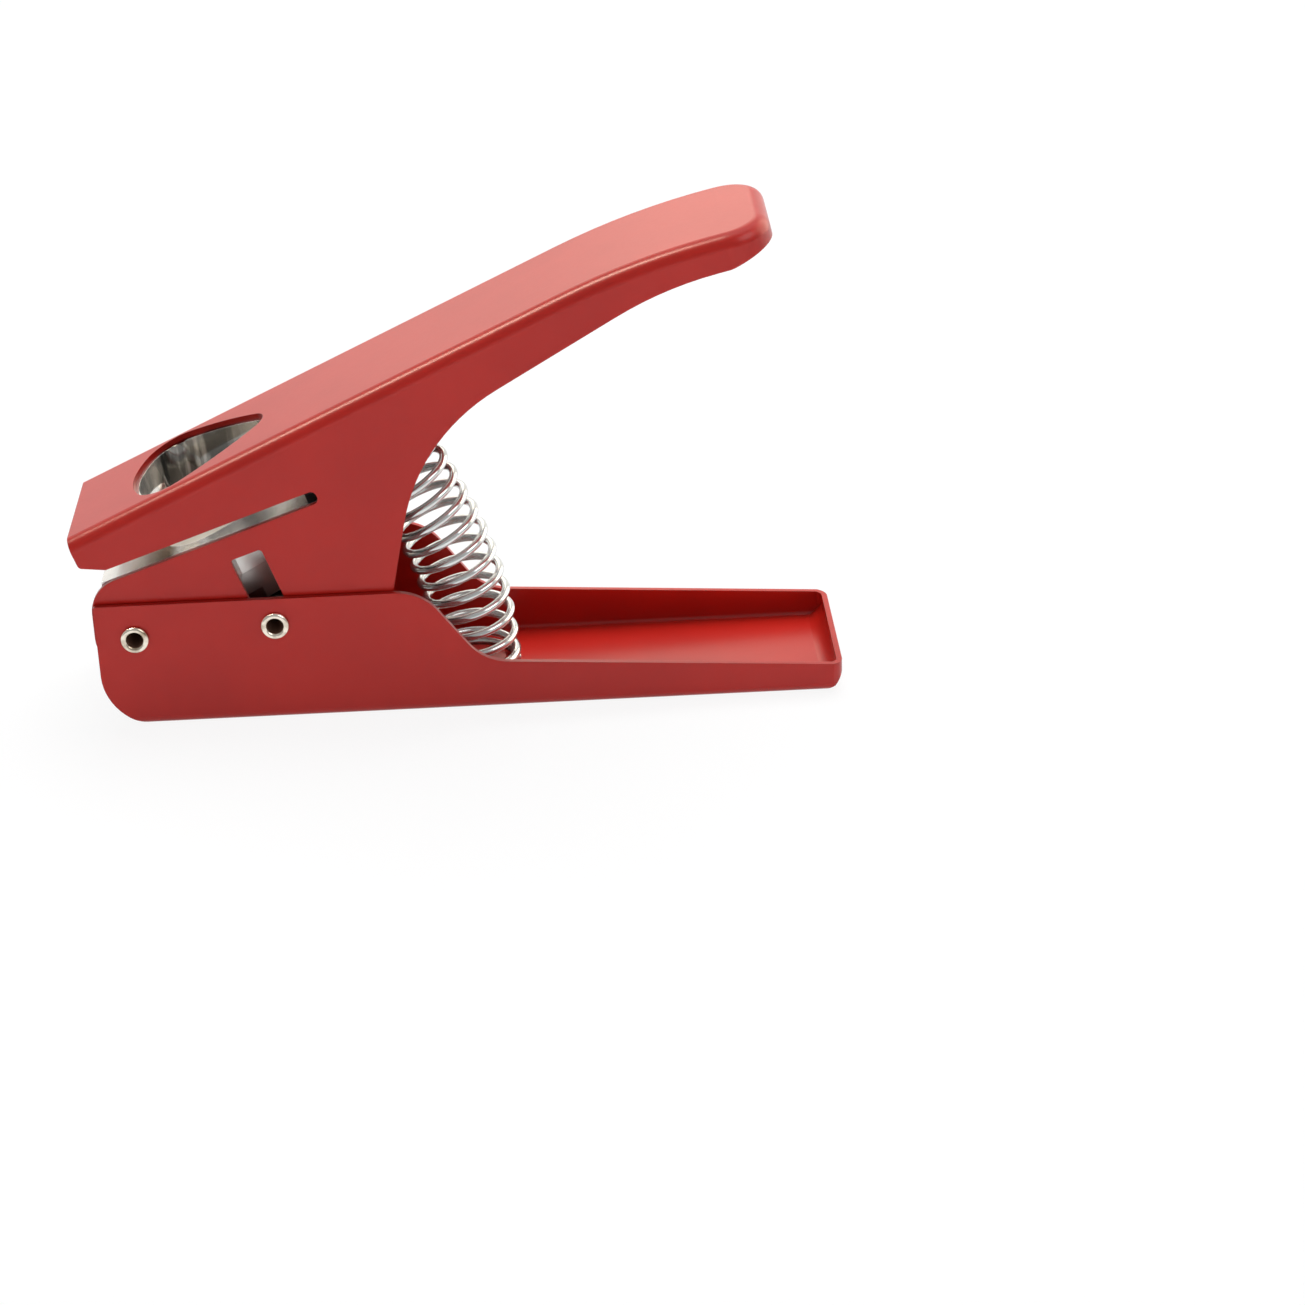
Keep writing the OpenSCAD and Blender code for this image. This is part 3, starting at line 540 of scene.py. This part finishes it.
def brushed_metal(name, colour, roughness, lines, metallic=1.0, marks=(),
                  stain_colour=None, stain_size=7 * MM, stain_start=0.38):
    """Metal with fine lines, soft stains, brighter worn edges and the marks of painted light that it is
    given.
    """
    material, tree = new_material(name)
    normal, bend = tree.rounded(WORN_RADIUS)
    stain = tree.noise(stain_size, detail=3)
    brush = tree.noise(lines.width, detail=2, stretch=lines.stretch)
    stained = solid_colour(stain_colour) if stain_colour else solid_colour(colour, STAIN_SHADE)
    body = tree.blend(
        tree.ramp(stain, stain_start, stain_start + STAIN_FADE), solid_colour(colour), stained)
    for mark in marks:
        shares = [tree.fade(*fade) for fade in mark.fades]
        if mark.streaky:
            streak = tree.noise(STREAK_BREADTH * lines.width, detail=3, stretch=lines.stretch)
            shares.append(tree.ramp(streak, *STREAKS))
        body = tree.blend(math.prod(shares[1:], start=shares[0]), body, mark.colour)
    worn = solid_colour([min(1, WORN_GAIN * c) for c in colour])
    smoothest = roughness - (LINE_ROUGHNESS + STAIN_ROUGHNESS) / 2
    tree.finish(
        Base_Color=tree.blend(tree.ramp(bend, *WORN_EDGE) * WORN_SHARE, body, worn),
        Metallic=metallic,
        Roughness=brush * LINE_ROUGHNESS + stain * STAIN_ROUGHNESS + smoothest,
        Normal=tree.bump(brush, lines.depth, normal))
    return material


def show_finish(names, material):
    """Puts a material on CAD pieces, in place of their plain one."""
    for name in names:
        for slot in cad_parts[name].material_slots:
            slot.material = material


def new_piece(name, points, faces, material):
    """A smooth mesh object in the scene."""
    mesh = bpy.data.meshes.new(name)
    mesh.from_pydata(points, [], faces)
    mesh.validate()
    mesh.materials.append(material)
    mesh.polygons.foreach_set("use_smooth", [True] * len(mesh.polygons))
    piece = bpy.data.objects.new(name, mesh)
    bpy.context.scene.collection.objects.link(piece)
    return piece


def ring_faces(rings, sides, closed):
    """Quads between following rings of points; closed also joins the last ring to the first."""
    faces = []
    for i in range(rings if closed else rings - 1):
        for k in range(sides):
            a, b = i * sides, (i + 1) % rings * sides
            after = (k + 1) % sides
            faces.append((a + k, a + after, b + after, b + k))
    return faces


class SpringLine:
    """The line that the spring's wire is wound on: closed turns at both ends, open ones between."""

    def __init__(self, spring, foot):
        self.spring = spring
        self.foot = foot
        self.mean = (spring.outside - spring.wire) / 2
        self.low = spring.seat_gap + spring.wire / 2
        open_run = spring.length - 2 * self.low - 2 * spring.end_pitch
        self.open_pitch = open_run / (spring.turns - 2)

    def run(self, turn):
        """Distance along the axis after a number of turns."""
        last = self.spring.turns - 1
        closed = min(turn, 1) + max(0, turn - last)
        return self.low + self.spring.end_pitch * closed + self.open_pitch * max(0, min(turn, last) - 1)

    def axis(self, run):
        """Point on the axis, and its lean there."""
        spring = self.spring
        lean = min(run / spring.bow, spring.lean)
        rest = max(0, run - spring.bow * spring.lean)
        return self.foot + Vector((
            -spring.bow * (1 - math.cos(lean)) - rest * math.sin(lean), 0,
            spring.bow * math.sin(lean) + rest * math.cos(lean))), lean

    def wire(self, turn):
        """Middle of the wire, and the direction out from the axis."""
        middle, lean = self.axis(self.run(turn))
        across = Vector((math.cos(lean), 0, math.sin(lean)))
        angle = 2 * math.pi * turn
        out = math.cos(angle) * across + math.sin(angle) * Vector((0, 1, 0))
        return middle + self.mean * out, out

    def ahead(self, turn):
        """Direction of the wire, from its middle a little before and a little after."""
        step = 1 / TURN_RINGS / 4
        before, _ = self.wire(max(turn - step, 0))
        after, _ = self.wire(min(turn + step, self.spring.turns))
        return (after - before).normalized()


def wind_spring(spring, material):
    """Round wire on the spring's line, its ends squared off and eased."""
    low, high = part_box("spring_post")
    line = SpringLine(spring, Vector(((low.x + high.x) / 2, 0, low.z)))
    rings = spring.turns * TURN_RINGS + 1
    points = []
    for i in range(rings):
        turn = i / TURN_RINGS
        middle, out = line.wire(turn)
        ahead = line.ahead(turn)
        out = (out - out.dot(ahead) * ahead).normalized()
        up = out.cross(ahead)
        radius = spring.wire / 2 * (EASED_END if i in (0, rings - 1) else 1)
        for k in range(WIRE_SIDES):
            a = 2 * math.pi * k / WIRE_SIDES
            points.append(middle + radius * (math.cos(a) * out + math.sin(a) * up))
    faces = ring_faces(rings, WIRE_SIDES, False)
    faces.append(tuple(reversed(range(WIRE_SIDES))))
    faces.append(tuple(range((rings - 1) * WIRE_SIDES, rings * WIRE_SIDES)))
    return new_piece("return_spring_wire", points, faces, material), line


def rolled_rivet(name, rivet, place, material, bore_material):
    """Hollow rivet turned about an axis along Y, its tube rolled over at both ends and dark inside."""
    bore, shank, head = rivet.bore / 2, rivet.shank / 2, rivet.head / 2
    half, tuck = rivet.grip / 2, ROLL_TUCK * rivet.roll
    side = [(shank, 0), (shank, half), (head - ROLL_UNDERCUT * tuck, half), (head, half + tuck)]
    for i in range(1, ROLL_STEPS):
        a = math.pi * i / ROLL_STEPS
        side.append(((bore + head) / 2 + (head - bore) / 2 * math.cos(a),
                     half + tuck + (rivet.roll - tuck) * math.sin(a)))
    side += [(bore, half + tuck), (bore, 0)]
    profile = side + [(r, -y) for r, y in reversed(side[1:-1])]
    points = []
    for i in range(RIVET_SIDES):
        a = 2 * math.pi * i / RIVET_SIDES
        points += [(place.x + r * math.cos(a), y, place.z + r * math.sin(a)) for r, y in profile]
    piece = new_piece(name, points, ring_faces(RIVET_SIDES, len(profile), True), material)
    piece.data.materials.append(bore_material)
    for face in piece.data.polygons:
        reach = Vector((face.center.x - place.x, face.center.z - place.z)).length
        face.material_index = int(reach < bore + BORE_MARGIN)
    return piece


class PICKPUNCH_OT_coat_sheet_metal(bpy.types.Operator):
    """Coats the base, the lever and the spring's post in satin red powder"""

    bl_idname = "pickpunch.coat_sheet_metal"
    bl_label = "Coat sheet metal"

    def execute(self, context):
        show_finish(RED_NODES, red_powder_coat(context.scene.pickpunch_paint))
        return {"FINISHED"}


class PICKPUNCH_OT_plate_die_set(bpy.types.Operator):
    """Plates the guide, polishes the die and grinds the punch and its yoke"""

    bl_idname = "pickpunch.plate_die_set"
    bl_label = "Plate die set"

    def execute(self, context):
        metal = context.scene.pickpunch_metal
        show_finish(["guide_block"], brushed_metal(
            "bright_nickel_plate", metal.nickel, metal.nickel_roughness, GUIDE_LINES, metallic=0.88,
            # Painted shade on the guide: darker behind its lit front, in a band, and toward its rear.
            marks=(mark_along("guide_block", metal.nickel, *GUIDE_SHADE_PAST_FRONT),
                   mark_along("guide_block", metal.tarnish_and_shade, *GUIDE_SHADE_BAND),
                   mark_along("guide_block", metal.tarnish_and_shade, *GUIDE_REAR_SHADE))))
        show_finish(["die_plate"], brushed_metal(
            "polished_die", metal.die, metal.die_roughness, DIE_LINES, metallic=0.8,
            # Painted reflection: dark streaks on the die's front part.
            marks=(mark_along("punch", metal.die, *DIE_DARK_REFLECTION, streaky=True),)))
        show_finish(["punch"], brushed_metal(
            "ground_punch", metal.punch, metal.punch_roughness, GROUND_LINES))
        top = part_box("punch_yoke")[1].z
        # Painted shade: the yoke turns darker towards the bottom, where it sits in shade.
        shade_below = Mark(solid_colour(metal.punch, YOKE_SHADE), [("Z", top, top - YOKE_SHADE_DEPTH)])
        show_finish(["punch_yoke"], brushed_metal(
            "sooted_yoke", metal.punch, metal.punch_roughness, GROUND_LINES, marks=(shade_below,)))
        return {"FINISHED"}


class PICKPUNCH_OT_finish_steel(bpy.types.Operator):
    """Gives the hidden steel pieces their machined, turned and blackened finishes"""

    bl_idname = "pickpunch.finish_steel"
    bl_label = "Finish steel"

    def execute(self, context):
        metal = context.scene.pickpunch_metal
        show_finish(["spring_seat"], brushed_metal(
            "machined_steel", metal.steel, metal.steel_roughness, MACHINED_LINES))
        show_finish(TURNED_NODES, brushed_metal(
            "turned_steel", metal.steel, metal.turned_roughness, TURNED_LINES))
        show_finish(BLACK_NODES, brushed_metal(
            "black_oxide", metal.oxide, metal.oxide_roughness, EVEN_GRAIN))
        return {"FINISHED"}


class PICKPUNCH_OT_roll_rivets(bpy.types.Operator):
    """Makes the two hollow rivets with their rolled heads"""

    bl_idname = "pickpunch.roll_rivets"
    bl_label = "Roll rivets"

    def execute(self, context):
        metal = context.scene.pickpunch_metal
        plate = brushed_metal(
            "rivet_plate", metal.rivet, metal.rivet_roughness, EVEN_GRAIN,
            stain_colour=metal.tarnish_and_shade, stain_size=2.6 * MM, stain_start=0.42)
        bore = brushed_metal(
            "rivet_bore", metal.rivet_bore, metal.steel_roughness, BORE_LINES, metallic=0.2)
        for name in RIVET_NODES:
            low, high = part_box(name)
            piece = rolled_rivet(
                name + "_rolled", context.scene.pickpunch_rivet, (low + high) / 2, plate, bore)
            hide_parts(name)
            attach(piece, "base")
        return {"FINISHED"}


class PICKPUNCH_OT_wind_spring(bpy.types.Operator):
    """Winds the return spring between the base floor and the lever"""

    bl_idname = "pickpunch.wind_spring"
    bl_label = "Wind spring"

    def execute(self, context):
        metal, spring = context.scene.pickpunch_metal, context.scene.pickpunch_spring
        zinc = brushed_metal("bright_zinc", metal.zinc, metal.zinc_roughness, WIRE_GRAIN, metallic=0.82)
        piece, line = wind_spring(spring, zinc)
        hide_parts("return_spring")
        start, _ = line.axis(line.run(1))
        end, _ = line.axis(line.run(spring.turns - 1))
        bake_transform(piece)
        return {"FINISHED"}


def seen_background(tree):
    """One for rays from the camera and those that metal or glass sends on, and one for the latter alone."""
    camera, glossy, clear = [tree.node("ShaderNodeLightPath", output=ray)
                             for ray in ("Is Camera Ray", "Is Glossy Ray", "Is Transmission Ray")]
    return (camera + glossy + clear).at_most(1.0), (glossy + clear).at_most(1.0) * (1 - camera)


def white_floor():
    """White to the camera but for a faint shadow, and pale grey to the light."""
    material, tree = new_material("white_floor")
    seen, _ = seen_background(tree)
    cloth = tree.node("ShaderNodeBsdfDiffuse", inputs={"Color": tree.blend(
        seen, solid_colour(WHITE, FLOOR_SHADE), solid_colour(WHITE, FLOOR_SEEN_SHADE))})
    glow = tree.node("ShaderNodeEmission", inputs={"Color": solid_colour(WHITE), "Strength": 1.0})
    away = tree.node("ShaderNodeVectorMath", {"operation": "LENGTH"}, {0: tree.place()}, "Value")
    share = tree.ramp(away, *FLOOR_FADE) * (1 - FLOOR_GLOW) + FLOOR_GLOW
    tree.node("ShaderNodeOutputMaterial", inputs={"Surface": tree.mix(seen * share, cloth, glow)})
    return material


def white_sky(strength):
    """Soft light from all round, plain white to the camera; metal mirrors a dim studio with a backdrop."""
    world = bpy.data.worlds.new("white_sky")
    tree = NodeTree(world)
    seen, mirrored = seen_background(tree)
    way = tree.node("ShaderNodeTexCoord", output="Generated")
    backdrop = (tree.ramp(tree.along(way, "Y"), *BACKDROP_START)
                * tree.ramp(tree.along(way, "Z"), *BACKDROP_TOP))
    light, white, dim, glow = [
        tree.node("ShaderNodeBackground", inputs={"Color": solid_colour(tint), "Strength": level})
        for tint, level in ((WHITE, strength), (WHITE, 1.0), (WHITE, STUDIO_STRENGTH), (BACKDROP_TINT, 1.0))]
    shown = tree.mix(mirrored, white, tree.mix(backdrop, dim, glow))
    tree.node("ShaderNodeOutputWorld", inputs={"Surface": tree.mix(seen, light, shown)})
    return world


def soft_light(name, power, place, size, tint, gloss_only):
    """Oblong light, of a width and a height, that faces the middle of the part."""
    lamp = bpy.data.lights.new(name, "AREA")
    lamp.shape = "RECTANGLE"
    lamp.size, lamp.size_y = size
    lamp.energy = power
    lamp.color = tint
    light = bpy.data.objects.new(name, lamp)
    light.location = place
    low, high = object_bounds()
    light.rotation_euler = ((low + high) / 2 - Vector(place)).to_track_quat("-Z", "Y").to_euler()
    light.visible_glossy, light.visible_diffuse = gloss_only, not gloss_only
    bpy.context.scene.collection.objects.link(light)


def photo_camera(stage):
    """Camera at the measured place, turn, tilt and roll."""
    yaw, tilt, roll = stage.camera_yaw, stage.camera_tilt, stage.camera_roll
    ahead = Vector((math.sin(yaw) * math.cos(tilt), math.cos(yaw) * math.cos(tilt), -math.sin(tilt)))
    level = Vector((math.cos(yaw), -math.sin(yaw), 0))
    upright = level.cross(ahead)
    right = math.cos(roll) * level + math.sin(roll) * upright
    up = math.cos(roll) * upright - math.sin(roll) * level
    data = bpy.data.cameras.new("photo_camera")
    data.sensor_width = FILM_WIDTH
    data.lens = stage.lens
    data.clip_start = NEAREST
    camera = bpy.data.objects.new("photo_camera", data)
    turn = Matrix((right, up, -ahead)).transposed().to_4x4()
    camera.matrix_world = Matrix.Translation(stage.camera_place) @ turn
    bpy.context.scene.collection.objects.link(camera)
    return camera


class PICKPUNCH_OT_set_stage(bpy.types.Operator):
    """Lays the floor, hangs the lights and places the camera"""

    bl_idname = "pickpunch.set_stage"
    bl_label = "Set stage"

    def execute(self, context):
        scene, stage = context.scene, context.scene.pickpunch_stage
        half = stage.floor_size / 2
        corners = [(-half, -half, 0), (half, -half, 0), (half, half, 0), (-half, half, 0)]
        new_piece("floor", corners, [(0, 1, 2, 3)], white_floor())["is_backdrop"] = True
        for name, light in LIGHTS.items():
            soft_light(name, getattr(stage, name), *light)
        scene.world = white_sky(stage.sky)
        scene.camera = photo_camera(stage)
        scene.view_settings.view_transform = "Standard"
        return {"FINISHED"}


OPERATORS = (
    PICKPUNCH_OT_set_stage, PICKPUNCH_OT_coat_sheet_metal, PICKPUNCH_OT_plate_die_set,
    PICKPUNCH_OT_finish_steel, PICKPUNCH_OT_roll_rivets, PICKPUNCH_OT_wind_spring)
SETTINGS = {
    "pickpunch_paint": PaintSettings, "pickpunch_metal": MetalSettings, "pickpunch_spring": SpringSettings,
    "pickpunch_rivet": RivetSettings, "pickpunch_stage": StageSettings}


class PICKPUNCH_PT_panel(bpy.types.Panel):
    """Lists the pick punch's operators and settings."""

    bl_label = "Pick punch"
    bl_idname = "PICKPUNCH_PT_panel"
    bl_space_type = "VIEW_3D"
    bl_region_type = "UI"
    bl_category = "Pick punch"

    def draw(self, context):
        for operator in OPERATORS:
            self.layout.operator(operator.bl_idname)
        for name in SETTINGS:
            group = getattr(context.scene, name)
            box = self.layout.box()
            for setting in group.__annotations__:
                box.prop(group, setting)


CLASSES = (*SETTINGS.values(), *OPERATORS, PICKPUNCH_PT_panel)


def register():
    for cls in CLASSES:
        bpy.utils.register_class(cls)
    for name, group in SETTINGS.items():
        setattr(bpy.types.Scene, name, bpy.props.PointerProperty(type=group))


def unregister():
    for name in SETTINGS:
        delattr(bpy.types.Scene, name)
    for cls in reversed(CLASSES):
        bpy.utils.unregister_class(cls)


def main():
    register()
    bpy.ops.pickpunch.set_stage()
    bpy.ops.pickpunch.coat_sheet_metal()
    bpy.ops.pickpunch.plate_die_set()
    bpy.ops.pickpunch.finish_steel()
    bpy.ops.pickpunch.roll_rivets()
    bpy.ops.pickpunch.wind_spring()


if __name__ == "__main__":
    main()
